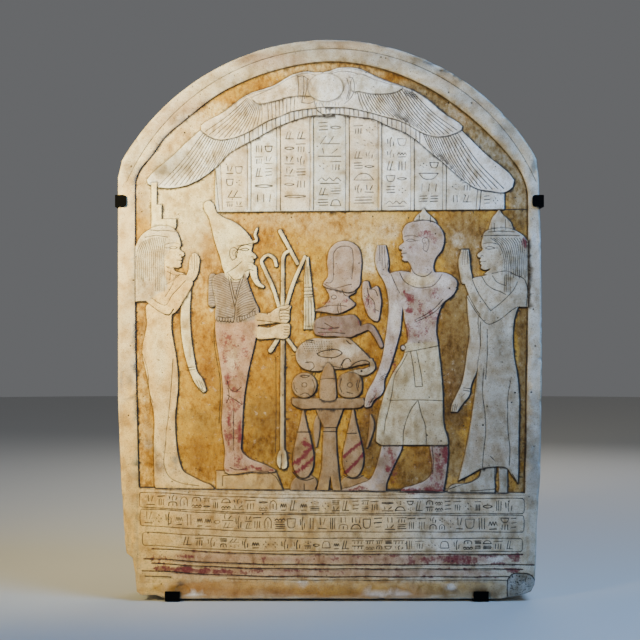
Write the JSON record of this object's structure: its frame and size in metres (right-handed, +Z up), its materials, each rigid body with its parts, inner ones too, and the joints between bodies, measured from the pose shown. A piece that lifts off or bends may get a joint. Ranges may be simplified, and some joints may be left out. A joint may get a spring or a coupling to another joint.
{
  "type": "carved stone stele",
  "caption": "Round-topped limestone stele with a painted offering scene in low relief, standing in a black flat-bar display cradle.",
  "frame": {"origin": "on the ground, in the middle of the footprint", "axes": "+Z up; the carved face looks along -Y; +X to the right as seen from the front"},
  "size_m": [0.4438, 0.0856, 0.5818],
  "materials": {
    "painted_limestone": "matt, worn paint",
    "black_metal": "satin black"
  },
  "bodies": {
    "root": {"stele": "painted_limestone", "display_cradle": "black_metal"}
  },
  "joints": []
}
